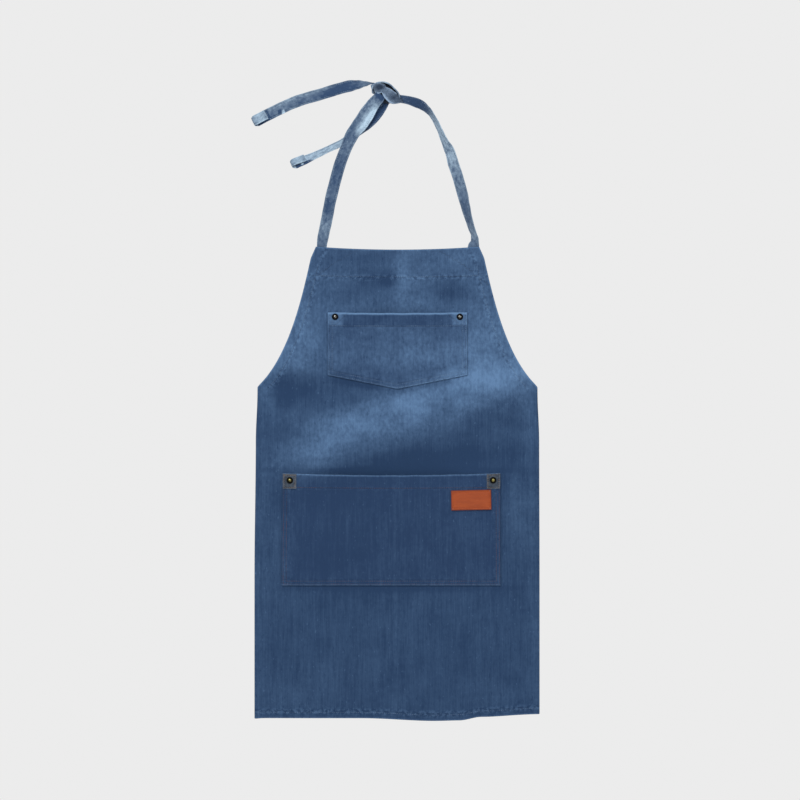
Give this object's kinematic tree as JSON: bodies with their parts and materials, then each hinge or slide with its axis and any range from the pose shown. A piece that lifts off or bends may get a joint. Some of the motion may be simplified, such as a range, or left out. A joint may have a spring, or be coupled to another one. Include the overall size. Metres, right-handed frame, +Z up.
{
  "type": "denim bib apron",
  "caption": "Denim bib apron hung by its tied neck straps, with riveted patch pockets, folded-back sides, waist ties and a leather label",
  "frame": {"origin": "inside top of the neck loop, just under the knot, where a hook or peg carries the apron", "axes": "+X to the right as seen from the front, +Y to the back, +Z up; the front faces -Y"},
  "size_m": [0.4903, 0.0326, 1.0878],
  "materials": {
    "denim_body": "washed mid-blue denim with slubs and lighter worn areas",
    "denim_pocket": "the same denim, lighter along its folded edges, with tan and blue stitching",
    "denim_strap": "thin faded denim, doubled and stitched",
    "patch_cloth": "grey-brown reinforcing cloth",
    "label_leather": "smooth orange-brown leather with a raised edge",
    "silver_rivet": "dark nickel, worn bright on the dome",
    "antique_rivet": "antique brass, darkened"
  },
  "bodies": {
    "neck_loop": {"neck_strap_left": "denim_strap", "neck_strap_right": "denim_strap", "neck_knot": "denim_strap"},
    "apron": {"body_panel": "denim_body", "bib_facing": "denim_body", "bottom_hem": "denim_body", "armhole_hem_left": "denim_body", "armhole_hem_right": "denim_body", "strap_foot_left": "denim_strap", "strap_foot_right": "denim_strap", "chest_pocket": "denim_pocket", "chest_pocket_hem": "denim_pocket", "chest_pocket_turned_edge": "denim_pocket", "front_pocket": "denim_pocket", "front_pocket_hem": "denim_pocket", "front_pocket_turned_edge": "denim_pocket", "corner_patch_left": "patch_cloth", "corner_patch_right": "patch_cloth", "leather_label": "label_leather", "rivet_chest_left": "silver_rivet", "rivet_chest_right": "silver_rivet", "rivet_front_left": "antique_rivet", "rivet_front_right": "antique_rivet", "burr_chest_left": "silver_rivet", "burr_chest_right": "silver_rivet", "burr_front_left": "antique_rivet", "burr_front_right": "antique_rivet"},
    "upper_tail": {"strap_tail_upper": "denim_strap", "tail_end_fold_upper": "denim_strap"},
    "lower_tail": {"strap_tail_lower": "denim_strap", "tail_end_fold_lower": "denim_strap"},
    "left_flap": {"side_flap_left": "denim_body", "flap_armhole_hem_left": "denim_body", "flap_side_hem_left": "denim_body", "flap_bottom_hem_left": "denim_body", "waist_tie_tab_left": "denim_strap"},
    "left_tie": {"waist_tie_left": "denim_strap"},
    "right_flap": {"side_flap_right": "denim_body", "flap_armhole_hem_right": "denim_body", "flap_side_hem_right": "denim_body", "flap_bottom_hem_right": "denim_body", "waist_tie_tab_right": "denim_strap"},
    "right_tie": {"waist_tie_right": "denim_strap"}
  },
  "joints": [
    {"name": "apron_swing", "type": "hinge", "parent": "neck_loop", "child": "apron", "pos_m": [0, 0.003, -0.243], "axis": [1, 0, 0], "range_deg": [-30, 30]},
    {"name": "upper_tail_swing", "type": "hinge", "parent": "neck_loop", "child": "upper_tail", "pos_m": [-0.018, 0, 0.019], "axis": [0, 0, 1], "range_deg": [-45, 45]},
    {"name": "lower_tail_swing", "type": "hinge", "parent": "neck_loop", "child": "lower_tail", "pos_m": [-0.018, 0, 0.019], "axis": [0.6102, 0, -0.7923], "range_deg": [0, 40]},
    {"name": "left_flap_unfold", "type": "hinge", "parent": "apron", "child": "left_flap", "pos_m": [-0.2374, 0.0031, -0.7], "axis": [0, 0, 1], "range_deg": [0, 180]},
    {"name": "right_flap_unfold", "type": "hinge", "parent": "apron", "child": "right_flap", "pos_m": [0.2374, 0.0031, -0.7], "axis": [0, 0, -1], "range_deg": [0, 180]},
    {"name": "left_tie_swing", "type": "hinge", "parent": "left_flap", "child": "left_tie", "pos_m": [-0.1334, 0.0032, -0.55075], "axis": [1, 0, 0], "range_deg": [0, 40]},
    {"name": "right_tie_swing", "type": "hinge", "parent": "right_flap", "child": "right_tie", "pos_m": [0.1334, 0.0032, -0.55075], "axis": [1, 0, 0], "range_deg": [0, 40]}
  ]
}
